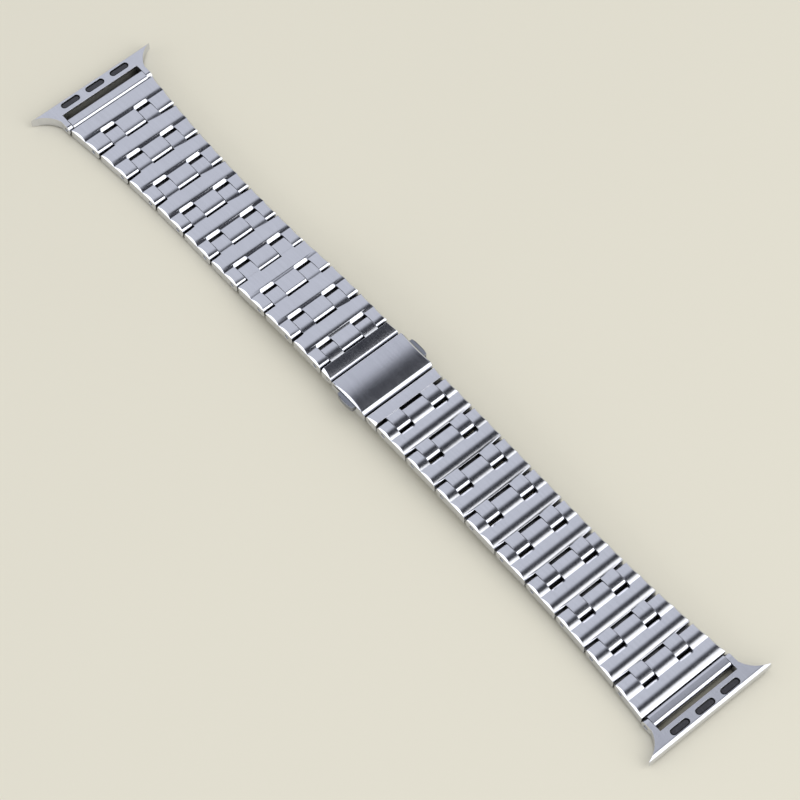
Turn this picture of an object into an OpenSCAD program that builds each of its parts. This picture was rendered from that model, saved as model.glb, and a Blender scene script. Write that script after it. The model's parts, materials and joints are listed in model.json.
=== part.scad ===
// Link watch band, laid out flat: two chains of crowned links, a centre clasp
// with two push buttons, and a flared end fitting at each end.
// Millimetres. X runs along the band, Y across it, Z up from the table.
// The middle of the clasp's underside is the origin.
// Each half is drawn once, outwards from the clasp, and mirrored.

/* [Chain] */
// distance from pin to pin in one link
link_pitch = 9.1; // [8.8:0.1:9.6]
// thickness of a link from underside to crown
link_t = 3.0; // [2.9:0.1:3.3]
// band width at the clasp
clasp_w = 17.9; // [17.4:0.1:19]
// band width at the end fittings
lug_w = 22.4; // [22:0.1:23]
// length over which the width flares out
flare_len = 40; // [25:1:60]

/* [Link shape] */
// length of the full-width bar of a link, from its outer wall to the valley in the crown
bar_len = 4.34; // [4.1:0.01:4.4]
// width of the middle finger
mid_finger_w = 5.4; // [5:0.1:5.8]
// width of each of the two inner fingers
inner_finger_w = 3.4; // [3:0.1:3.6]
// side clearance between interleaved fingers
seam = 0.11; // [0.08:0.01:0.15]
// how far the tips of the three fingers reach past their pin
tip_r = 1.75; // [1.65:0.05:1.8]
// how far the tips of the two inner fingers reach past their pin
inner_tip_r = 1.7; // [1.6:0.05:1.75]
// gap between a finger tip and the wall it faces
tip_gap = 0.51; // [0.45:0.01:0.6]
// radius of the crown over each bar and finger
crown_r = 6.9; // [6:0.1:9]
// width of the polished chamfer along the band's sides
side_chamfer = 0.38; // [0.2:0.01:0.45]
// how far the sloping seat before each inner finger runs into the bar
scoop_len = 0.6; // [0.55:0.05:0.8]

/* [Pins] */
// diameter of the link pins
pin_d = 1.0; // [0.8:0.1:1.1]
// height of the pin axis above a link's underside
pin_h = 1.45; // [1.4:0.01:1.5]
// radial clearance of every pin in its bore
pin_clear = 0.03; // [0.02:0.01:0.06]
// how far a pin's end lies below the band's side
pin_inset = 0.12; // [0.05:0.01:0.2]

/* [End fitting] */
// distance between the two tips of an end fitting
rail_w = 32; // [31:0.1:33]
// thickness of an end fitting
rail_t = 2.6; // [2.5:0.1:2.7]
// distance from the end fitting's pin to its outer edge
rail_reach = 6.3; // [6.1:0.1:6.6]
// radius of the concave flank between ear and tip
flank_r = 7; // [6:0.5:9]
// width of the recess between the ears
recess_w = 20.3; // [20:0.1:20.6]
// width along the band of the rounded tongue that turns in the recess
tongue_w = 2.8; // [2.6:0.1:2.9]
// length of each inlaid slot
slot_len = 4.8; // [4.4:0.1:5.4]
// width of each inlaid slot
slot_w = 1.6; // [1.4:0.1:1.7]
// distance between slot centres
slot_pitch = 6.6; // [6:0.1:7.2]

/* [Clasp] */
// length of the cover along the band
cover_len = 10.5; // [10.3:0.1:11]
// width of the cover across the band
cover_w = 18.3; // [18:0.1:19]
// height of the cover's crown above the table
cover_top = 5.25; // [5.2:0.05:5.5]
// radius of the cover's crown
cover_crown_r = 24; // [20:1:40]
// gap between the cover and each end link
cover_gap = 0.2; // [0.15:0.05:0.3]
// thickness of the base blade
base_t = 0.95; // [0.9:0.05:1.1]
// thickness of each folding wing
wing_t = 0.9; // [0.8:0.05:1]
// width of the base blade and the wings
blade_w = 12.8; // [12:0.1:13.4]
// length of a push button along the band
button_len = 4.7; // [4.4:0.1:5]
// how far a push button stands out of the cover
button_out = 1.15; // [1:0.05:1.3]
// travel of a push button
button_travel = 0.8; // [0.6:0.1:0.8]

/* [Hidden] */
$fn = 96;
// a hair's breadth, by which joined bodies overlap
e = 0.01;
// how far a cutting shape reaches beyond what it cuts
beyond = 2;
link_count = 9;
// share of the way down to the table that each link takes, from the clasp out;
// the first lies level on its wing
far_drop = [0, 0.3, 0.55, 0.15, 0, 0, 0, 0, 0];
near_drop = [for (i = [1:link_count]) i == 1 ? 0 : 1 / (link_count - 1)];

pin_r = pin_d / 2;
bore_r = pin_r + pin_clear;
crown_top = link_t - pin_h;
wall_x = tip_r + tip_gap;
bar_x1 = link_pitch - wall_x;
bar_x0 = bar_x1 - bar_len;
notch_gap = 0.73;
notch_x = inner_tip_r + notch_gap;
// where a finger's crown is highest, outwards or inwards of its pin
finger_crest = 0.4;
inner_crest = 0.3;
// the bar's crown is highest here, so that it meets the fingers' crown in the valley
bar_crest = 2 * bar_x0 - finger_crest;
// radii by which the upper half of a tip turns into the crown
tip_corner_r = 0.75;
inner_corner_r = 0.8;
finger_y0 = mid_finger_w / 2 + seam;
finger_y1 = finger_y0 + inner_finger_w;
outer_y0 = finger_y1 + seam;
// the seat comes out of the bar's crown scoop_len behind the notch's end wall
scoop_angle = 40;
scoop_corner = 0.5;
scoop_out = bar_crest - notch_x - scoop_len;
scoop_low = crown_top - crown_r + sqrt(pow(crown_r, 2) - pow(scoop_out, 2))
    - scoop_len * tan(scoop_angle);
// the lips that close the gaps below the finger tips
lip_top = -0.3;
lip_room = 0.3;
// how deep a finger or barrel is rooted in its bar
root_in = 0.5;
tongue_edge_r = 0.8;
tongue_web = 0.25;
tongue_gap = 0.15;
first_pitch = bar_x1 + tongue_w / 2 + tongue_gap;
running = 0.1;
// the end links hover this far, so that the rounded finger ends clear the table
hover = 0.05;

wing_z = base_t + running;
wing_play = 0.15;
under_z = wing_z + wing_t + wing_play;
pin_z = under_z + pin_h;
cover_x = cover_len / 2;
end_r = 1.25;
pivot_x = cover_x + cover_gap + end_r;
end_bar_len = 3.13;
end_pin_x = cover_x + cover_gap + end_bar_len + wall_x;
hinge_out = 8;
hinge_x = end_pin_x + hinge_out;
knuckle_r = 0.95;
knuckle_w = 6.4;
hinge_z = wing_z;
web_len = 1.2;
window_x = 12;
window_len = 8.5;
window_w = 3.4;
wing_window_len = 6;
wing_window_w = 3.2;
wing_inset = 0.2;
pad_end = 0.35;
pad_side = 0.9;
pad_r = 1;

swivel_r = 0.74;
swivel_bore_r = 0.42;
pivot_pin_r = swivel_bore_r - pin_clear;
neck_w = 6.6;
neck_t = 0.75;
neck_angle = 40;
open_angle = 125;
pocket_clear = 0.1;

fall_r = 14;
crest_back = 1;
chamfer_low = 0.25;
cover_edge_r = 1.1;
cover_chamfer = 0.45;

catch_t = 0.5;
catch_reach = 0.4;
catch_y0 = 5.0;
catch_y1 = 5.8;
catch_play = 0.05;
button_z = 3.05;
button_h = 1.55;
button_in_y = 4.25;
button_face_r = 7;
button_bevel = 0.35;
slide_play = 0.05;
spring_z = button_z + button_h / 2;
spring_bore_r = 0.75;
spring_bore_len = 3;
spring_floor = 0.9;
coil_r = 0.5;
wire_r = 0.13;
coil_step = 0.42;
coil_count = 6;

ear_len = 1.6;
ear_over = 0.1;
ear_y = (lug_w / 2) + ear_over;
tip_edge = 0.25;
recess_gap = 1.4;
recess_x = tongue_w / 2 + recess_gap;
rail_low = -1.25;
rail_mid = rail_low + rail_t / 2;
rail_top = rail_low + rail_t;
rail_edge_r = 0.9;
slot_margin = 0.95;
slot_x = rail_reach - slot_margin - slot_w / 2;
slot_depth = 0.9;
// each inlay has a face with a lower rim round it
inlay_low = 0.22;
inlay_rim_low = 0.5;
inlay_rim = 0.28;
inlay_fit = 0.02;
lock_len = 3.1;
lock_w = 1.4;
lock_t = 1;
lock_drop = 0.2;
lock_room = 1.1;

// ---- where each half's pins are ----

function length_of(k) = k == 1 ? first_pitch : link_pitch;
function share(side, k) = side == "a" ? far_drop[link_count - k] : near_drop[link_count - k];
function slope(side, k) = asin((pin_z - pin_h - hover) * share(side, k) / length_of(k));
function pin_x_at(side, k) = k == link_count ? end_pin_x
    : pin_x_at(side, k + 1) + length_of(k + 1) * cos(slope(side, k + 1));
function pin_z_at(side, k) = k == link_count ? pin_z
    : pin_z_at(side, k + 1) - length_of(k + 1) * sin(slope(side, k + 1));

// the distance along the chain from a link's inner pin to the end fitting's pin
function reach(k) = first_pitch + (k - 1) * link_pitch;
// half the band's width at that distance, a parabola that ends in straight sides
function half_w(s) = (clasp_w + (lug_w - clasp_w) * pow(max(0, 1 - s / flare_len), 2)) / 2;

module half(side) { if (side == "a") mirror([1, 0, 0]) children(); else children(); }

// in place of link k: the origin is on its inner pin, X points outwards
module at_link(side, k)
    half(side) translate([pin_x_at(side, k), 0, pin_z_at(side, k)])
        rotate([0, slope(side, k), 0]) children();

// in place of the end fitting: the origin is on its pin
module at_rail(side)
    half(side) translate([pin_x_at(side, 0), 0, pin_z_at(side, 0)]) children();

module both_y() { children(); mirror([0, 1, 0]) children(); }

// a cylinder along Y, centred
module rod(r, w, x = 0, z = 0)
    translate([x, 0, z]) rotate([90, 0, 0]) cylinder(r = r, h = w, center = true);

// a block from corner to corner
module block(a, b) translate(a) cube(b - a);

// a stadium prism, its long way along Y
module stadium(len, w, h)
    linear_extrude(h) union() {
        square([w, len - w], center = true);
        for (s = [-1, 1]) translate([0, s * (len - w) / 2]) circle(d = w);
    }

// ---- links ----

// everything under a crown: width w, from x0 to x1, its highest line at x = crest
module crowned(x0, x1, w, crest, r)
    intersection() {
        block([x0, -w / 2, -pin_h], [x1, w / 2, crown_top + 1]);
        rod(r, w + 1, crest, crown_top - r);
    }

// a crowned run of finger whose tip reaches r past the pin at x = 0; below the pin
// the tip is round about it, above it is blunter and turns into the crown
module finger(length, w, r, corner_r, crest) {
    corner_x = corner_r - r;
    rise = sqrt(pow(crown_r - corner_r, 2) - pow(crest - corner_x, 2));
    corner_z = crown_top - crown_r + rise;
    crown_x = crest - (crest - corner_x) * crown_r / (crown_r - corner_r);
    intersection() {
        crowned(-r, length, w, crest, crown_r);
        union() {
            rod(r, w);
            block([-r, -w / 2, 0], [length, w / 2, corner_z]);
            rod(corner_r, w, corner_x, corner_z);
            block([crown_x, -w / 2, 0], [length, w / 2, crown_top + 1]);
            block([0, -w / 2, -pin_h], [length, w / 2, e]);
        }
    }
}

// the tapering outline of a link, from tip to the end of its bar
module link_plan(k) {
    w0 = half_w(reach(k) + tip_r);
    w1 = half_w(reach(k) - bar_x1);
    linear_extrude(link_t + beyond, center = true)
        polygon([[-tip_r, -w0], [bar_x1, -w1], [bar_x1, w1], [-tip_r, w0]]);
}

// what a 45 degree chamfer of width c takes off an edge along X at y = 0, z = 0
module chamfer_cut(len, c)
    translate([0, 0, -c]) rotate([-45, 0, 0]) translate([0, -beyond * c, 0])
        cube([len, 2 * beyond * c, beyond * c]);

// the same off the upper and the lower edge of a side
module side_cuts(len) {
    translate([0, 0, crown_top]) chamfer_cut(len, side_chamfer);
    mirror([0, 0, 1]) translate([0, 0, pin_h]) chamfer_cut(len, side_chamfer / 2);
}

// the chamfers along the tapering sides of link k
module link_side_cuts(k) {
    w0 = half_w(reach(k) + tip_r);
    w1 = half_w(reach(k) - bar_x1);
    taper = atan((w1 - w0) / (bar_x1 + tip_r));
    both_y() translate([-tip_r, w0, 0]) rotate([0, 0, taper]) translate([-beyond, 0, 0])
        side_cuts(link_pitch + 2 * beyond);
}

// the lip low on a wall, under finger tips of radius r that turn on a pin at x = pin_at
module lip(x0, x1, y0, y1, pin_at, r)
    difference() {
        block([x0, y0, -pin_h], [x1, y1, lip_top]);
        rod(r + lip_room, lug_w + beyond, pin_at);
    }

// the sloping seat that leads into a notch of half width w; x = 0 is the notch's end wall
module scoop(w)
    intersection() {
        translate([0, 0, scoop_low]) union() {
            block([-e, -w, 0], [scoop_len - scoop_corner, w, beyond]);
            block([-e, scoop_corner - w, 0], [scoop_len, w - scoop_corner, beyond]);
            for (s = [-1, 1])
                translate([scoop_len - scoop_corner, s * (w - scoop_corner), 0])
                    cylinder(r = scoop_corner, h = beyond);
        }
        translate([0, 0, scoop_low]) rotate([0, -scoop_angle, 0])
            block([-beyond, -w - 1, 0], [2 * beyond, w + 1, 2 * beyond]);
    }

// the notches that the next link's inner fingers turn in
module notches() {
    notch_y0 = mid_finger_w / 2;
    half_notch = (outer_y0 - notch_y0) / 2;
    both_y() {
        difference() {
            block([-2 * tip_r, notch_y0, -link_t], [notch_x, outer_y0, link_t]);
            lip(0, notch_x + e, notch_y0 - e, outer_y0 + e, 0, inner_tip_r);
        }
        translate([notch_x, notch_y0 + half_notch, 0]) scoop(half_notch);
    }
}

// two inner fingers that reach out from x = root to their pin at x = pin_at
module inner_fingers(root, pin_at) {
    both_y() translate([pin_at, (finger_y0 + finger_y1) / 2, 0]) mirror([1, 0, 0])
        finger(pin_at - root, inner_finger_w, inner_tip_r, inner_corner_r, inner_crest);
}

module link_blank(k)
    difference() {
        intersection() {
            union() {
                finger(bar_crest, lug_w + beyond, tip_r, tip_corner_r, finger_crest);
                crowned(finger_crest, bar_x1, lug_w + beyond, bar_crest, crown_r);
            }
            link_plan(k);
        }
        link_side_cuts(k);
        notches();
        rod(bore_r, lug_w + beyond);
    }

module link(side, k)
    color([0.76, 0.77, 0.80]) at_link(side, k)
        difference() {
            union() {
                link_blank(k);
                if (k > 1) {
                    lip_y = half_w(reach(k) - bar_x1) - side_chamfer;
                    inner_fingers(bar_x1 - root_in, link_pitch);
                    lip(bar_x1 - e, link_pitch, -lip_y, lip_y, link_pitch, tip_r);
                } else tongue();
            }
            rod(bore_r, lug_w + beyond, length_of(k));
        }

// the first link's full-width tongue, which turns between the end fitting's ears
module tongue() {
    y = recess_w / 2 - seam;
    x = tongue_w / 2;
    flat = x - tongue_edge_r;
    translate([first_pitch, 0, 0]) {
        block([-x, -y, -flat], [x, y, flat]);
        block([-flat, -y, -x], [flat, y, x]);
        for (cx = [-flat, flat], cz = [-flat, flat]) rod(tongue_edge_r, 2 * y, cx, cz);
    }
    block([bar_x1 - root_in, -y, -x], [first_pitch, y, tongue_web]);
}

// the friction pin at the inner end of link k
module link_pin(side, k)
    color([0.62, 0.63, 0.66]) at_link(side, k)
        rod(pin_r, 2 * (half_w(reach(k)) - pin_inset));

// ---- end fittings ----

// what is cut off beside an ear and outside the concave flank, from ear to tip
module flank_cut() {
    tip = [rail_reach - tip_edge, rail_w / 2];
    root = [ear_len, ear_y];
    chord = norm(tip - root);
    outwards = [root[1] - tip[1], tip[0] - root[0]] / chord;
    centre = (tip + root) / 2 + outwards * sqrt(pow(flank_r, 2) - pow(chord / 2, 2));
    intersection() {
        translate([centre[0], centre[1], rail_low - 1]) cylinder(r = flank_r, h = rail_t + 2);
        block([ear_len - e, 0, rail_low - 1], [rail_reach + 1, rail_w, rail_top + 1]);
    }
    block([-link_t, ear_y, rail_low - 1], [ear_len, rail_w, rail_top + 1]);
}

module rail(side)
    color([0.78, 0.78, 0.82]) at_rail(side) {
        edge_x = rail_reach - rail_edge_r;
        difference() {
            intersection() {
                union() {
                    block([0, -rail_w / 2, rail_low], [edge_x, rail_w / 2, rail_top]);
                    block([0, -rail_w / 2, rail_low + rail_edge_r],
                          [rail_reach, rail_w / 2, rail_top - rail_edge_r]);
                    for (z = [rail_low + rail_edge_r, rail_top - rail_edge_r])
                        rod(rail_edge_r, rail_w, edge_x, z);
                    rod(rail_t / 2, rail_w, 0, rail_mid);
                }
                block([-rail_t / 2, -rail_w / 2, rail_low], [rail_reach, rail_w / 2, rail_top]);
            }
            both_y() flank_cut();
            block([-beyond, -recess_w / 2, rail_low - beyond],
                  [recess_x, recess_w / 2, rail_top + beyond]);
            for (y = [-slot_pitch, 0, slot_pitch]) slot_at(y) stadium(slot_len, slot_w, slot_depth + 1);
            lock_at(-1) stadium(lock_len + 2 * slide_play, lock_w + 2 * slide_play, lock_room + 1);
            rod(bore_r, rail_w);
        }
    }

module slot_at(y) translate([slot_x, y, rail_top - slot_depth]) children();
module lock_at(z) translate([slot_x, 0, rail_low + z]) children();

// the three dark inlays
module rail_inlays(side)
    color([0.07, 0.07, 0.08]) at_rail(side)
        for (y = [-slot_pitch, 0, slot_pitch])
            slot_at(y) {
                stadium(slot_len - 2 * inlay_fit, slot_w - 2 * inlay_fit, slot_depth - inlay_rim_low);
                stadium(slot_len - 2 * inlay_rim, slot_w - 2 * inlay_rim, slot_depth - inlay_low);
            }

// the sprung catch under the end fitting that locks it in the watch's slot
module lock_tongue(side)
    color([0.62, 0.63, 0.66]) at_rail(side) lock_at(-lock_drop) stadium(lock_len, lock_w, lock_t);

// the pin that the first link's barrel turns on
module rail_pin(side)
    color([0.62, 0.63, 0.66]) at_rail(side) rod(pin_r, 2 * (ear_y - pin_inset));

// ---- end links ----

module end_link(side)
    color([0.72, 0.73, 0.76]) half(side) {
        w = clasp_w;
        bar_x = end_pin_x - wall_x;
        difference() {
            union() {
                translate([0, 0, pin_z]) intersection() {
                    crowned(pivot_x - end_r, bar_x, w, end_pin_x - crest_back, fall_r);
                    union() {
                        rod(end_r, w, pivot_x);
                        block([pivot_x, -w / 2, -pin_h], [bar_x, w / 2, link_t]);
                    }
                }
                translate([0, 0, pin_z]) {
                    inner_fingers(bar_x - root_in, end_pin_x);
                    lip(bar_x - e, end_pin_x, chamfer_low - w / 2, w / 2 - chamfer_low, end_pin_x, tip_r);
                }
            }
            translate([0, 0, pin_z]) {
                both_y() translate([0, w / 2, -chamfer_low]) side_cuts(bar_x + 1);
                rod(pivot_pin_r + pin_clear, w + 1, pivot_x);
                rod(bore_r, w + 1, end_pin_x);
            }
            neck_pocket();
            catch_notches();
        }
    }

// the room under the end link that its wing's neck swings through while the wing opens
module neck_pocket() {
    w = neck_w + 2 * running;
    room = neck_t / 2 + pocket_clear;
    below = -pin_h - 1;
    translate([pivot_x, 0, pin_z]) {
        rod(swivel_r + pocket_clear, w);
        rotate([0, neck_angle + open_angle - 180, 0])
            block([-2 * end_r, -w / 2, below], [0, w / 2, room]);
        rotate([0, neck_angle, 0]) block([0, -w / 2, -link_t], [2 * link_t, w / 2, room]);
        block([-e, -w / 2, below], [end_r, w / 2, 0]);
    }
}

// the notches that the ends of the buttons' catches reach into; they are open below,
// so that the end link can rise past them
module catch_notches()
    both_y() block([0, catch_y0 - button_travel - catch_play, 0],
                   [cover_x + cover_gap + catch_reach + catch_play, catch_y1 + catch_play,
                    button_z + catch_t + catch_play]);

// the bar that the end link turns on, on its wing
module pivot_bar(side)
    color([0.62, 0.63, 0.66]) half(side) rod(pivot_pin_r, clasp_w - 0.1, pivot_x, pin_z);

// ---- clasp ----

module cover()
    color([0.66, 0.67, 0.70]) difference() {
        y1 = cover_w / 2;
        edge_r = cover_edge_r;
        edge_x = cover_x - edge_r;
        // the rounded edges run tangent into the crown
        edge_z = cover_top - cover_crown_r + sqrt(pow(cover_crown_r - edge_r, 2) - pow(edge_x, 2));
        crown_x = edge_x * cover_crown_r / (cover_crown_r - edge_r);
        intersection() {
            block([-cover_x, -y1, under_z], [cover_x, y1, cover_top]);
            rod(cover_crown_r, cover_w + 1, 0, cover_top - cover_crown_r);
            union() {
                block([-crown_x, -y1, under_z], [crown_x, y1, cover_top]);
                block([-cover_x, -y1, under_z], [cover_x, y1, edge_z]);
                for (s = [-1, 1]) rod(edge_r, cover_w, s * edge_x, edge_z);
            }
        }
        both_y() {
            translate([-cover_x - 1, y1, cover_top]) chamfer_cut(cover_len + 2, cover_chamfer);
            // tunnel for the button, its catches and its spring, open below until the base closes it
            block([-button_len / 2 - slide_play, button_in_y - button_travel - running, under_z - 1],
                  [button_len / 2 + slide_play, y1 + 1, button_z + button_h + slide_play]);
            block([-cover_x - 1, catch_y0 - button_travel - catch_play, under_z - 1],
                  [cover_x + 1, catch_y1 + catch_play, button_z + catch_t + catch_play]);
            translate([0, spring_floor, spring_z]) rotate([-90, 0, 0])
                cylinder(r = spring_bore_r, h = spring_bore_len);
        }
    }

module base()
    color([0.70, 0.71, 0.74]) difference() {
        pad_x = cover_x - pad_end;
        pad_y = cover_w / 2 - pad_side;
        union() {
            block([-hinge_x + web_len - e, -blade_w / 2, 0], [hinge_x - web_len + e, blade_w / 2, base_t]);
            rounded_pad(pad_x, pad_y, under_z);
            both_y() block([-button_len / 2, catch_y1 + catch_play + running, under_z - e],
                           [button_len / 2, cover_w / 2 - slide_play, button_z - slide_play]);
            both_x() both_y() {
                outer_knuckle(knuckle_w / 2 + running, blade_w / 2);
                block([hinge_x - web_len, knuckle_w / 2 + running, 0], [hinge_x, blade_w / 2, base_t]);
            }
        }
        both_x() {
            rod(bore_r, blade_w + 1, hinge_x, hinge_z);
            translate([window_x, 0, -1]) rotate([0, 0, 90]) stadium(window_len, window_w, base_t + 2);
            block([hinge_x - knuckle_r - 2 * running, -knuckle_w / 2 - running, -1],
                  [hinge_x + 2, knuckle_w / 2 + running, 3]);
        }
    }

// one of the base's knuckles, from y0 to y1
module outer_knuckle(y0, y1)
    translate([hinge_x, (y0 + y1) / 2, hinge_z]) rotate([90, 0, 0])
        cylinder(r = knuckle_r, h = y1 - y0, center = true);

module both_x() { children(); mirror([1, 0, 0]) children(); }

// the block between the wings that carries the cover, with rounded upright corners
module rounded_pad(x, y, h) {
    r = pad_r;
    block([-x + r, -y, 0], [x - r, y, h]);
    block([-x, -y + r, 0], [x, y - r, h]);
    both_x() both_y() translate([x - r, y - r, 0]) cylinder(r = r, h = h);
}

module wing(side)
    color([0.70, 0.71, 0.74]) half(side) {
        mid_z = wing_z + wing_t / 2;
        join_x = pivot_x + (pin_z - mid_z) / tan(neck_angle);
        blade_x1 = hinge_x - knuckle_r - wing_play;
        blade_y = blade_w / 2 - wing_inset;
        difference() {
            union() {
                block([join_x, -blade_y, wing_z], [blade_x1, blade_y, wing_z + wing_t]);
                block([blade_x1 - e, -knuckle_w / 2, wing_z], [hinge_x, knuckle_w / 2, wing_z + wing_t]);
                rod(knuckle_r, knuckle_w, hinge_x, hinge_z);
                rod(wing_t / 2, neck_w, join_x, mid_z);
                rod(swivel_r, neck_w, pivot_x, pin_z);
                neck_len = norm([join_x - pivot_x, pin_z - mid_z]);
                translate([pivot_x, 0, pin_z]) rotate([0, neck_angle, 0])
                    block([0, -neck_w / 2, -neck_t / 2], [neck_len, neck_w / 2, neck_t / 2]);
            }
            rod(bore_r, blade_w, hinge_x, hinge_z);
            rod(pivot_pin_r + pin_clear, blade_w, pivot_x, pin_z);
            translate([(join_x + blade_x1) / 2, 0, wing_z - 1]) rotate([0, 0, 90])
                stadium(wing_window_len, wing_window_w, wing_t + 2);
        }
    }

module hinge_pin(side)
    color([0.62, 0.63, 0.66]) half(side) rod(pin_r, blade_w, hinge_x, hinge_z);

// a push button with its two catches, drawn for the +Y side
module button(side)
    color([0.60, 0.61, 0.66]) mirror([0, side == "near" ? 1 : 0, 0]) {
        y1 = cover_w / 2 + button_out;
        difference() {
            intersection() {
                block([-button_len / 2, button_in_y, button_z], [button_len / 2, y1, button_z + button_h]);
                translate([0, y1 - button_face_r, 0]) cylinder(r = button_face_r, h = cover_top);
            }
            for (z = [button_z, button_z + button_h]) translate([0, y1, z]) rotate([45, 0, 0])
                cube([button_len + 1, button_bevel, button_bevel], center = true);
        }
        block([-cover_x - cover_gap - catch_reach, catch_y0, button_z],
              [cover_x + cover_gap + catch_reach, catch_y1, button_z + catch_t]);
    }

// the button's spring, at the length it has when the button is pressed
module button_spring(side)
    color([0.55, 0.56, 0.58]) mirror([0, side == "near" ? 1 : 0, 0])
        for (i = [0:coil_count - 1])
            translate([0, button_in_y - wire_r - coil_step * i, spring_z]) rotate([90, 0, 0])
                rotate_extrude() translate([coil_r, 0]) circle(r = wire_r, $fn = 24);

// ---- pieces ----

sides = ["a", "b"];
faces = ["far", "near"];

base();  // clasp_base
cover();  // clasp_cover
for (f = faces) {
    button(f);
    button_spring(f);
}
for (s = sides) {
    wing(s);
    hinge_pin(s);
    end_link(s);
    pivot_bar(s);
    rail(s);
    rail_pin(s);
    rail_inlays(s);
    lock_tongue(s);
    for (k = [1:link_count]) {
        link(s, k);
        link_pin(s, k);
    }
}
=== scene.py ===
# %% [markdown]
# # A steel link band on a pale table
#
# This lesson dresses a watch band that already exists as exact solids. The band lies flat:
# two chains of crowned links, a folding clasp between them, and a flared fitting at each end
# that slides into a watch. Blender's part is the look: softened edges, satin and polished
# steel, and the quiet studio that steel needs, because bare metal shows little but what
# stands around it.

# %% Load the band
import json
import math

import bpy
from mathutils import Matrix, Vector


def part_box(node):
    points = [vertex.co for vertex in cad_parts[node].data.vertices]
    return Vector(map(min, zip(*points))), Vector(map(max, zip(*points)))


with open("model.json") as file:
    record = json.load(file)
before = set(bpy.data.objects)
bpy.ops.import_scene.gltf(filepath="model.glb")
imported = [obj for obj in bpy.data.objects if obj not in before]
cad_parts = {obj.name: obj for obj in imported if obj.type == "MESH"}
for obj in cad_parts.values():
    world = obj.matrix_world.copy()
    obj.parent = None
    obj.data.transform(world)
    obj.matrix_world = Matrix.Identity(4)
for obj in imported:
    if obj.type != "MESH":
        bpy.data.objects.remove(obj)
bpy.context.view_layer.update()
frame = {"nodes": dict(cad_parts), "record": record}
nodes = frame["nodes"]
MM = 0.001

# %% [markdown]
# ## The camera
#
# The band was photographed from above at about thirty degrees off the vertical, with a long
# lens, so that near and far links look almost the same size. A camera is placed where the
# perspective of the links says it stood, and aimed at the clasp.

# %% Aim the camera
CAMERA_AT = Vector((253.9, -206.4, 557.5)) * MM
CAMERA_AIM = Vector((5.1, 0.4, 0.0)) * MM
CAMERA_ROLL = math.radians(-0.63)
LENS_MM = 141.75
SENSOR_MM = 36
NEAREST = 0.01
FARTHEST = 20


def aimed(start, aim, roll=0.0):
    """The matrix of a camera or lamp at start that looks at aim."""
    turn = (aim - start).to_track_quat("-Z", "Y").to_matrix().to_4x4()
    return Matrix.Translation(start) @ turn @ Matrix.Rotation(roll, 4, "Z")


view = bpy.data.cameras.new("camera")
view.lens = LENS_MM
view.sensor_width = SENSOR_MM
view.clip_start = NEAREST
view.clip_end = FARTHEST
camera = bpy.data.objects.new("camera", view)
camera.matrix_world = aimed(CAMERA_AT, CAMERA_AIM, CAMERA_ROLL)
bpy.context.scene.collection.objects.link(camera)
bpy.context.scene.camera = camera
bpy.context.scene.view_settings.view_transform = "Standard"
off_vertical = math.degrees((CAMERA_AT - CAMERA_AIM).angle(Vector((0, 0, 1))))
print("camera", round(off_vertical, 1), "degrees off the vertical")

# %% [markdown]
# ## Writing shader maths as sums
#
# A steel finish is mostly arithmetic: a mask here, a fine line there. Wiring Math nodes by
# hand hides the formula, so a small class wraps a socket and lets Python's own operators
# add the nodes. Every other node is made by one method, which sets the node's options
# first and then its sockets.


# %% A socket that can be added and multiplied
class Signal:
    """The output of a node. Arithmetic on it adds Math nodes to the same tree."""

    def __init__(self, sheet, socket):
        self.sheet = sheet
        self.socket = socket

    def maths(self, operation, *values):
        numbers = dict(enumerate(values))
        return self.sheet.add("ShaderNodeMath", {"operation": operation}, numbers)

    def __add__(self, other):
        return self.maths("ADD", self, other)

    __radd__ = __add__

    def __sub__(self, other):
        return self.maths("SUBTRACT", self, other)

    def __rsub__(self, other):
        return self.maths("SUBTRACT", other, self)

    def __mul__(self, other):
        return self.maths("MULTIPLY", self, other)

    __rmul__ = __mul__

    def __abs__(self):
        return self.maths("ABSOLUTE", self)


# %% A node sheet for materials and the world
SKY_SAMPLES = 12


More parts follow.
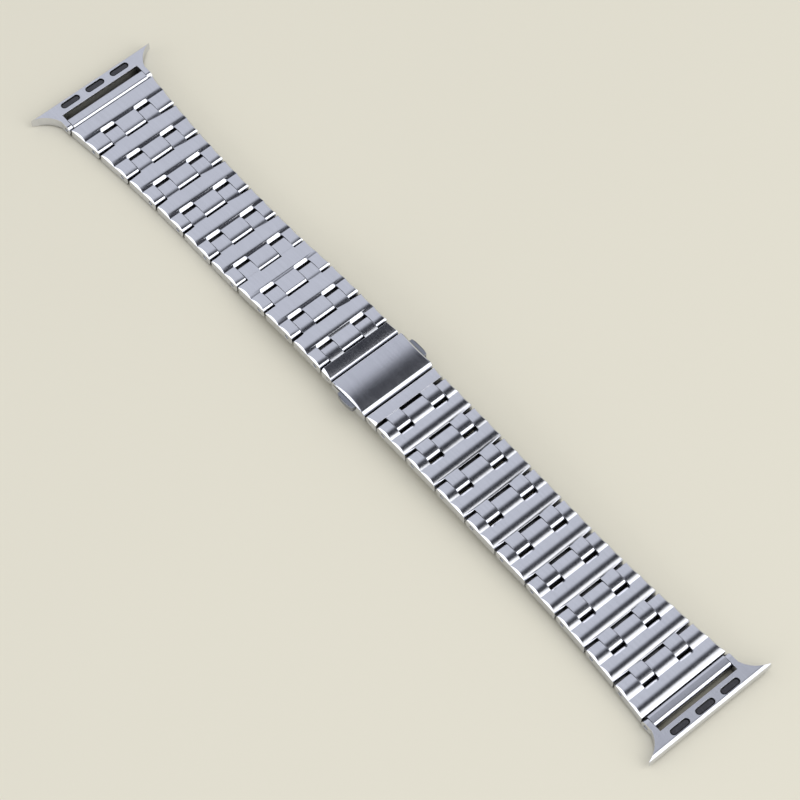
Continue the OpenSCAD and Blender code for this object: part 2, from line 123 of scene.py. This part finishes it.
class Sheet:
    """A node tree that is filled from code."""

    def __init__(self, owner):
        owner.use_nodes = True
        self.tree = owner.node_tree
        self.tree.nodes.clear()

    def add(self, kind, settings=None, inputs=None, out=0):
        """One node: its type, its settings, and the values or links of its sockets."""
        node = self.tree.nodes.new(kind)
        for name, value in (settings or {}).items():
            setattr(node, name, value)
        for key, value in (inputs or {}).items():
            socket = node.inputs[key]
            if isinstance(value, Signal):
                self.tree.links.new(value.socket, socket)
            else:
                socket.default_value = value
        return Signal(self, node.outputs[out]) if node.outputs else node

    def split(self, vector):
        """The three parts of a vector."""
        first = self.add("ShaderNodeSeparateXYZ", inputs={0: vector})
        return [Signal(self, socket) for socket in first.socket.node.outputs]

    def blend(self, factor, low, high):
        """A colour between low and high."""
        node = self.tree.nodes.new("ShaderNodeMix")
        node.data_type = "RGBA"
        for socket, value in ((node.inputs[0], factor), (node.inputs[6], low), (node.inputs[7], high)):
            if isinstance(value, Signal):
                self.tree.links.new(value.socket, socket)
            elif socket.type == "RGBA":
                socket.default_value = (*value, 1)
            else:
                socket.default_value = value
        return Signal(self, node.outputs[2])

    def between(self, value, low, high, to_low=0.0, to_high=1.0):
        """A smooth step from to_low to to_high while value goes from low to high."""
        settings = {"interpolation_type": "SMOOTHSTEP", "clamp": True}
        inputs = {"Value": value, "From Min": low, "From Max": high, "To Min": to_low, "To Max": to_high}
        return self.add("ShaderNodeMapRange", settings, inputs)

    def noise(self, vector, scale, detail=2.0, roughness=0.5):
        """A cloudy pattern with so many blobs to the metre."""
        inputs = {"Vector": vector, "Scale": scale, "Detail": detail, "Roughness": roughness}
        return self.add("ShaderNodeTexNoise", {"noise_dimensions": "3D"}, inputs)

    def streaks(self, vector, counts, detail, roughness=0.5):
        """A noise with its own count of blobs to the metre along each axis."""
        settings = {"operation": "MULTIPLY"}
        stretched = self.add("ShaderNodeVectorMath", settings, {0: vector, 1: counts})
        return self.noise(stretched, 1.0, detail, roughness)

    def sky(self, reach):
        """How much of the sky a point sees, looking no farther than reach."""
        settings = {"samples": SKY_SAMPLES}
        return self.add("ShaderNodeAmbientOcclusion", settings, {"Distance": reach}, out=1)


print("shader maths ready")

# %% [markdown]
# ## The table
#
# The band lies on a plain warm-white sheet. A large flat mesh is enough. Its colour carries
# the whole tint of the picture, and a breath of noise keeps it from looking like paper in a
# computer. Where the band closes it in on all sides, as in the window of an end fitting,
# shade is painted into the sheet's colour as a dark olive: an Ambient Occlusion node finds
# those places.

# %% Lay the table
FLOOR_COLOUR = (0.775, 0.745, 0.635)
PAINTED_SHADE_OLIVE = (0.32, 0.30, 0.235)
CLOSED_REACH = 6 * MM
CLOSED_SKY = (0.10, 0.48)
FLOOR_HALF = 1.6
FLOOR_BELOW = 0.02 * MM
MOTTLE = 0.02
MOTTLE_BLOBS = 6.0
FLOOR_ROUGH = 0.9
FLOOR_SPECULAR = 0.1


def flat_mesh(name, half_x, half_y):
    """A rectangle about its own middle, facing up."""
    mesh = bpy.data.meshes.new(name)
    corners = [(-half_x, -half_y, 0), (half_x, -half_y, 0), (half_x, half_y, 0), (-half_x, half_y, 0)]
    mesh.from_pydata(corners, [], [(0, 1, 2, 3)])
    piece = bpy.data.objects.new(name, mesh)
    bpy.context.scene.collection.objects.link(piece)
    return piece


def matt_sheet(name, colour):
    """A matt finish with a faint unevenness, and painted shade where the band closes it in."""
    material = bpy.data.materials.new(name)
    sheet = Sheet(material)
    place = sheet.add("ShaderNodeTexCoord", out=3)
    cloud = sheet.noise(place, MOTTLE_BLOBS, detail=3.0)
    lighter = tuple(min(1.0, c * (1 + MOTTLE)) for c in colour)
    darker = tuple(c * (1 - MOTTLE) for c in colour)
    tint = sheet.blend(cloud, darker, lighter)
    # painted shade: the sheet's colour turns dark olive where the band closes it in
    open_sky = sheet.between(sheet.sky(CLOSED_REACH), *CLOSED_SKY)
    tint = sheet.blend(open_sky, PAINTED_SHADE_OLIVE, tint)
    inputs = {"Base Color": tint, "Roughness": FLOOR_ROUGH, "Specular IOR Level": FLOOR_SPECULAR}
    shader = sheet.add("ShaderNodeBsdfPrincipled", inputs=inputs)
    sheet.add("ShaderNodeOutputMaterial", inputs={"Surface": shader})
    return material


table = flat_mesh("table", FLOOR_HALF, FLOOR_HALF)
table.location.z = -FLOOR_BELOW
table.data.materials.append(matt_sheet("warm_white_sheet", FLOOR_COLOUR))
print("table", 2 * FLOOR_HALF, "m wide")

# %% [markdown]
# ## The room
#
# The world is two things at once. To the camera and to the steel it is a pale wall, so that
# the metal has something quiet to mirror. As a source of light it is dimmer, and leaves
# room for the lamps to shape the links.

# %% Paint the room
ROOM_SEEN = (0.655, 0.675, 0.755)
ROOM_LIGHT = (0.985, 0.99, 1.0)
ROOM_LIGHT_LEVEL = 0.72

world = bpy.data.worlds.new("room")
bpy.context.scene.world = world
room = Sheet(world)
ray = room.add("ShaderNodeLightPath")
rays = {s.name: Signal(room, s) for s in ray.socket.node.outputs}
seen = rays["Is Camera Ray"] + rays["Is Glossy Ray"] + rays["Is Transmission Ray"]
seen = seen.maths("MINIMUM", seen, 1.0)
colour = room.blend(seen, ROOM_LIGHT, ROOM_SEEN)
level = ROOM_LIGHT_LEVEL + seen * (1 - ROOM_LIGHT_LEVEL)
air = room.add("ShaderNodeBackground", inputs={"Color": colour, "Strength": level})
room.add("ShaderNodeOutputWorld", inputs={"Surface": air})
print("room level", ROOM_LIGHT_LEVEL)

# %% [markdown]
# ## Lamps and a dark card
#
# The photograph tells where the lamps stood. Every slope that leans to the lower right ends
# in a white band, so a broad soft lamp slants down on that side. Just before the white
# comes a dark band, which on the flat tops fades in softly. A photographer makes such a
# band with a black card beside the lamp, and so does this scene: its card hangs far above,
# and its left half fades into the colour of the room. Only the metal sees it. A second,
# long and low lamp on the near side draws the white line along the polished chamfers.


# %% Hang the lamps
def soft_lamp(name, middle, aim, width, height):
    """A rectangular lamp; a mirror shows it as bright as LAMP_WHITE, with 1 as white."""
    lamp = bpy.data.lights.new(name, "AREA")
    lamp.shape = "RECTANGLE"
    lamp.size = width
    lamp.size_y = height
    lamp.energy = LAMP_WHITE * math.pi * width * height
    holder = bpy.data.objects.new(name, lamp)
    holder.matrix_world = aimed(Vector(middle), Vector(aim))
    holder.visible_camera = False
    bpy.context.scene.collection.objects.link(holder)


LAMP_WHITE = 1.24
UPPER_EDGE = Vector((0.19, 0.45, 1.10))
LOWER_EDGE = Vector((1.45, 0.45, 0.10))
RIGHT_WIDTH = 0.9
NEAR_AT = (-0.10, -0.95, 0.36)
NEAR_SIZE = (1.5, 0.42)
middle = (UPPER_EDGE + LOWER_EDGE) / 2
slant = LOWER_EDGE - UPPER_EDGE
facing = slant.cross(Vector((0, 1, 0))).normalized()
soft_lamp("lamp_right", middle, middle - facing, RIGHT_WIDTH, slant.length)
soft_lamp("lamp_near", NEAR_AT, (0, 0, 0), *NEAR_SIZE)
print("right lamp faces", [round(v, 2) for v in -facing])

# %% Hold the dark card
DARK_CARD = (0.030, 0.032, 0.040)
CARD_HEIGHT = 5.0
CARD_MIDDLE_Y = 1.9
CARD_HALF_Y = 1.25
CARD_ANGLES = (-17.0, 14.0)
DARK_FROM = -5.0


def above(degrees):
    """The place in X on the card that lies so many degrees off the vertical."""
    return CARD_HEIGHT * math.tan(math.radians(degrees))


left, right = (above(angle) for angle in CARD_ANGLES)
card = flat_mesh("dark_card", (right - left) / 2, CARD_HALF_Y)
card.location = ((left + right) / 2, CARD_MIDDLE_Y, CARD_HEIGHT)
paint = bpy.data.materials.new("black_card")
sheet = Sheet(paint)
along = sheet.split(sheet.add("ShaderNodeTexCoord", out=3))[0] + (left + right) / 2
dark = sheet.between(along, left, above(DARK_FROM))
shade = sheet.blend(dark, ROOM_SEEN, DARK_CARD)
glow = sheet.add("ShaderNodeEmission", inputs={"Color": shade, "Strength": 1.0})
sheet.add("ShaderNodeOutputMaterial", inputs={"Surface": glow})
card.data.materials.append(paint)
for kind_of_ray in ("camera", "diffuse", "shadow", "transmission"):
    setattr(card, "visible_" + kind_of_ray, False)
print("card at", [round(v, 2) for v in card.location])

# %% [markdown]
# ## Softened edges
#
# No steel edge is perfectly sharp: each has a tiny round that catches light. The exact
# solids stay as they are, and modifiers add the round on top. First the mesh is welded and
# its flat areas are joined, so that a bevel has clean edges to work on. The bars of the
# links are tumbled rounder along one edge only, the outer top edge, so a node group marks
# that edge and the bevel follows the mark. The other edges of the links and fittings are
# so short and curved that their round is left to the material. Last comes the shading:
# smooth across small angles, sharp across large ones.


# %% A small builder for node groups
class Group(Sheet):
    """A geometry node group, filled in the same way as a material."""

    def __init__(self, name, numbers=()):
        self.tree = bpy.data.node_groups.new(name, "GeometryNodeTree")
        for way in ("INPUT", "OUTPUT"):
            self.tree.interface.new_socket("Geometry", in_out=way, socket_type="NodeSocketGeometry")
        for number in numbers:
            self.tree.interface.new_socket(number, in_out="INPUT", socket_type="NodeSocketFloat")
        came = self.tree.nodes.new("NodeGroupInput")
        self.given = {socket.name: Signal(self, socket) for socket in came.outputs}

    def ends_with(self, geometry):
        self.add("NodeGroupOutput", inputs={0: geometry})

    def more(self, value, limit):
        """1 where value is larger than limit."""
        return self.add("ShaderNodeMath", {"operation": "GREATER_THAN"}, {0: value, 1: limit})


# %% A node group that marks a bar's outer top edge
EDGE_ANGLE = math.radians(35)
WALL_NEAR = 0.25 * MM
TOP_NEAR = 0.75 * MM
LEVEL_WITHIN = 0.02 * MM
STEEPNESS = 4

bar_edge = Group("bar_edge", ("Wall X", "Top Z"))
given = bar_edge.given
sharp = bar_edge.more(bar_edge.add("GeometryNodeInputMeshEdgeAngle"), EDGE_ANGLE)
ends = [bar_edge.add("GeometryNodeInputMeshEdgeVertices", out=place) for place in (2, 3)]
first, last = (bar_edge.split(end) for end in ends)
across = bar_edge.more(abs(first[1] - last[1]), STEEPNESS * abs(first[0] - last[0]))
level = bar_edge.more(LEVEL_WITHIN, abs(first[2] - last[2]))
at_wall = bar_edge.more(WALL_NEAR, abs(first[0] - given["Wall X"]))
at_top = bar_edge.more(first[2], given["Top Z"] - TOP_NEAR)
mark = sharp * across * level * at_wall * at_top
settings = {"data_type": "FLOAT", "domain": "EDGE"}
inputs = {"Geometry": given["Geometry"], "Name": "bevel_weight_edge", "Value": mark}
bar_edge.ends_with(bar_edge.add("GeometryNodeStoreNamedAttribute", settings, inputs))
print("bar edge group", len(bar_edge.tree.nodes), "nodes")

# %% A node group for clean shading
SHARP_ANGLE = math.radians(33)

shading = Group("clean_shading")
angle = shading.add("GeometryNodeInputMeshEdgeAngle")
steep = shading.add("FunctionNodeCompare", inputs={0: angle, 1: SHARP_ANGLE})
inputs = {"Mesh": shading.given["Geometry"], "Remove Custom": True, "Edge Sharpness": steep}
shading.ends_with(shading.add("GeometryNodeSetMeshNormal", {"mode": "SHARPNESS"}, inputs))
print("shading group", len(shading.tree.nodes), "nodes")


# %% Round the edges of every node
WELD_WITHIN = 0.001 * MM
FLAT_ANGLE = math.radians(0.1)
ROUND_STEPS = 3
AREA_WEIGHT = 60


def soften(piece, width, bar=None):
    """Rounds a node's edges by width (mm), or only the bar edge that the bar names."""
    weld = piece.modifiers.new("weld", "WELD")
    weld.merge_threshold = WELD_WITHIN
    flat = piece.modifiers.new("join_flats", "DECIMATE")
    flat.decimate_type = "DISSOLVE"
    flat.angle_limit = FLAT_ANGLE
    if bar:
        marked = piece.modifiers.new("bar_edge", "NODES")
        marked.node_group = bar_edge.tree
        for item in bar_edge.tree.interface.items_tree:
            if item.name in bar:
                marked[item.identifier] = bar[item.name]
    if width:
        edge = piece.modifiers.new("edge_round", "BEVEL")
        edge.width = width * MM
        edge.segments = ROUND_STEPS
        edge.limit_method = "WEIGHT" if bar else "ANGLE"
        edge.angle_limit = EDGE_ANGLE
        edge.use_clamp_overlap = False
        edge.miter_outer = "MITER_ARC"
    clean = piece.modifiers.new("shading", "NODES")
    clean.node_group = shading.tree
    even = piece.modifiers.new("even_normals", "WEIGHTED_NORMAL")
    even.keep_sharp = True
    even.weight = AREA_WEIGHT


EDGE_ROUNDS = {"slot_inlays": 0.06, "lock_tongue": 0.1, "clasp_cover": 0.09,
               "clasp_base": 0.06, "wing": 0.06, "button": 0.1, "button_spring": 0.0}
BAR_EDGE_ROUND = 0.38
WALL_FROM_END = 3.96 * MM


def edge_round(name):
    """The round of the longest key that begins the node's name, or none."""
    keys = [key for key in EDGE_ROUNDS if name.startswith(key)]
    return EDGE_ROUNDS[max(keys, key=len)] if keys else 0.0


for name, piece in nodes.items():
    low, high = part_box(name)
    if name.startswith(("link_a", "link_b")) and not name.endswith("1"):
        wall = high[0] - WALL_FROM_END if name[5] == "b" else low[0] + WALL_FROM_END
        soften(piece, BAR_EDGE_ROUND, {"Wall X": wall, "Top Z": high[2]})
    else:
        soften(piece, edge_round(name))
print("softened", len(nodes))

# %% [markdown]
# ## Satin and polished steel
#
# The tops of the links are brushed and then lightly polished. Brushing leaves lines far
# finer than a pixel, which make a reflection soft. A noise stretched along X gives the
# lines at their true scale. The chamfers along the sides are polished bright, so a mask
# made from the surface's own direction lowers the roughness there. Down in the gaps
# between the fingers shade is painted into the colour, near black, and the roughness goes
# up. An Ambient Occlusion node finds those places: it tells how much of the sky a point can
# see. A Bevel node rounds the steel's own edges, by less than a tenth of a millimetre.
#
# In the photograph the clasp does not lie quite flat: its cover, the two end links and the
# link after them turn a little to the right, towards the dark side of the room. The solids
# stay flat, as the frame has them, so this lean of a few degrees is given to the shading
# only, as the slope of a bump height in true metres. The same height eases the curve of
# the cover and end links a little, because in the photograph the dark reflection reaches
# right up to their edges.

# %% Masks that read the shape
GAP_DEPTH = 2.2 * MM
GAP_SKY = (0.12, 0.62)
LEANS_OUT = (0.25, 0.45)
STANDS_UP = (0.80, 0.95)


def in_gaps(sheet):
    """Near 1 deep in a gap, 0 on the open surface."""
    return sheet.between(sheet.sky(GAP_DEPTH), *GAP_SKY, 1.0, 0.0)


def on_chamfers(sheet):
    """1 where the surface leans about 45 degrees to the side."""
    facing = sheet.add("ShaderNodeTexCoord", out=1)
    sideways = abs(sheet.split(facing)[1])
    return sheet.between(sideways, *LEANS_OUT) * sheet.between(sideways, *STANDS_UP, 1.0, 0.0)


# %% A surface direction that leans
def leaning(sheet, place, facing, degrees, crest=0, real_radius=1, seen_radius=1):
    """Facing, leant towards +X and curved by seen_radius (mm) about the crest."""
    x = sheet.split(place)[0]
    off_crest = abs(x) - crest * MM
    flatten = 0.5 * (1 / real_radius - 1 / seen_radius) / MM
    height = off_crest * off_crest * flatten - x * math.tan(math.radians(degrees))
    inputs = {"Strength": 1.0, "Distance": 1.0, "Height": height, "Normal": facing}
    return sheet.add("ShaderNodeBump", inputs=inputs)


# %% The steel finish
STEEL = (0.745, 0.755, 0.790)
DARKER = 0.89
LIGHTER = 1.07
GAP_SHADE = 0.10
POLISH = 0.08
GAP_DULL = 0.25
CLOUD_DULL = 0.04
GRAIN_DULL = 0.03
EDGE_RADIUS = 0.07 * MM
EDGE_SAMPLES = 6
GROOVE_DEPTH = 0.02 * MM
LINES = (300.0, 9000.0, 300.0)
SMEARS = (150.0, 2200.0, 150.0)
CLOUDS = 180.0
GRAIN_STEP = (0.30, 0.70)
SMEAR_SHARE = 0.75


def steel(name, colour=STEEL, satin=0.15, groove=0.06, lean=None):
    """Brushed steel whose chamfers are polished and whose gaps have painted shade, near black."""
    material = bpy.data.materials.new(name)
    sheet = Sheet(material)
    place = sheet.add("ShaderNodeTexCoord", out=3)
    chamfer = on_chamfers(sheet)
    gap = in_gaps(sheet)
    lines = sheet.streaks(place, LINES, detail=2.0, roughness=0.6)
    cloud = sheet.noise(place, CLOUDS, detail=3.0)
    smear = sheet.streaks(place, SMEARS, detail=3.0)
    grain = sheet.between(lines, *GRAIN_STEP)
    dark = tuple(c * DARKER for c in colour)
    light = tuple(min(1.0, c * LIGHTER) for c in colour)
    deep = tuple(c * GAP_SHADE for c in colour)
    tint = sheet.blend(smear * SMEAR_SHARE + cloud * (1 - SMEAR_SHARE), dark, light)
    # painted shade: the colour goes near black deep in the gaps, where little sky is seen
    tint = sheet.blend(gap, tint, deep)
    rough = satin + (cloud - 0.5) * CLOUD_DULL + (grain - 0.5) * GRAIN_DULL
    rough = rough - chamfer * (satin - POLISH) + gap * GAP_DULL
    height = grain * (1 - chamfer)
    facing = sheet.add("ShaderNodeBevel", {"samples": EDGE_SAMPLES}, {"Radius": EDGE_RADIUS})
    if lean:
        facing = leaning(sheet, place, facing, *lean)
    inputs = {"Strength": groove, "Distance": GROOVE_DEPTH, "Height": height, "Normal": facing}
    bump = sheet.add("ShaderNodeBump", inputs=inputs)
    inputs = {"Base Color": tint, "Metallic": 1.0, "Roughness": rough, "Normal": bump}
    shader = sheet.add("ShaderNodeBsdfPrincipled", inputs=inputs)
    sheet.add("ShaderNodeOutputMaterial", inputs={"Surface": shader})
    return material


# %% [markdown]
# ## Black inlays
#
# Each end fitting has three slots with a glossy black filling. Black gloss is a dark base
# with a clear coat. A little dust in the roughness keeps it real, and along the rim against
# the steel wall shade is painted in, fully black.


# %% The inlay finish
RIM = 0.5 * MM
RIM_PAINTED_SHADE = (0.004, 0.004, 0.004)
GLOSS_BLACK = (0.024, 0.024, 0.030)
DUSTY_BLACK = (0.042, 0.042, 0.050)
DUST_SPECKS = 2500.0
DUST_STEP = (0.45, 0.75)
RIM_SKY = (0.55, 0.95)
GLOSS = 0.16
DUST_DULL = 0.12


def black_gloss(name):
    """A glossy black filling with a little dust and painted shade along its rim."""
    material = bpy.data.materials.new(name)
    sheet = Sheet(material)
    place = sheet.add("ShaderNodeTexCoord", out=3)
    dust = sheet.noise(place, DUST_SPECKS, detail=3.0)
    tint = sheet.blend(sheet.between(dust, *DUST_STEP), GLOSS_BLACK, DUSTY_BLACK)
    # painted shade: the colour goes fully black along the rim, where little sky is seen
    tint = sheet.blend(sheet.between(sheet.sky(RIM), *RIM_SKY), RIM_PAINTED_SHADE, tint)
    inputs = {"Base Color": tint, "Roughness": GLOSS + dust * DUST_DULL, "Coat Weight": 0.3}
    shader = sheet.add("ShaderNodeBsdfPrincipled", inputs=inputs)
    sheet.add("ShaderNodeOutputMaterial", inputs={"Surface": shader})
    return material


# %% [markdown]
# ## Dress every piece
#
# The frame names a material slot for every piece, and each slot gets its finish. The
# leaning pieces get a steel of their own. A lean is given as its degrees, and where the
# curve is eased, as the crest's distance from the middle, the real radius of the top and
# the radius that it is to look like, in millimetres.

# %% Choose the finishes
COVER = (0.68, 0.69, 0.725)
FINISHES = {
    "link_steel": steel("satin_links"),
    "fitting_steel": steel("satin_fittings", satin=0.20),
    "cover_steel": steel("satin_cover", colour=COVER, satin=0.17, lean=(7, 0, 24, 36)),
    "blade_steel": steel("blade_sheet", colour=(0.66, 0.67, 0.70), satin=0.30),
    "button_steel": steel("button_steel", colour=(0.30, 0.31, 0.34), satin=0.34),
    "pin_steel": steel("turned_pins", colour=(0.60, 0.61, 0.64), satin=0.16, groove=0.03),
    "spring_steel": steel("spring_wire", colour=(0.52, 0.53, 0.56), satin=0.28),
    "inlay": black_gloss("black_inlay"),
}
LEANING = {"end_link_a": steel("satin_end_links", lean=(7, 9.84, 14, 24)),
           "link_b9": steel("satin_ninth_link", lean=(4.5,))}
LEANING["end_link_b"] = LEANING["end_link_a"]

slots = {entry["node"]: entry["material_slot"] for entry in frame["record"]["subparts"]}
for name, piece in nodes.items():
    piece.material_slots[0].material = LEANING.get(name, FINISHES[slots[name]])
print("finishes", len(FINISHES) + 2)
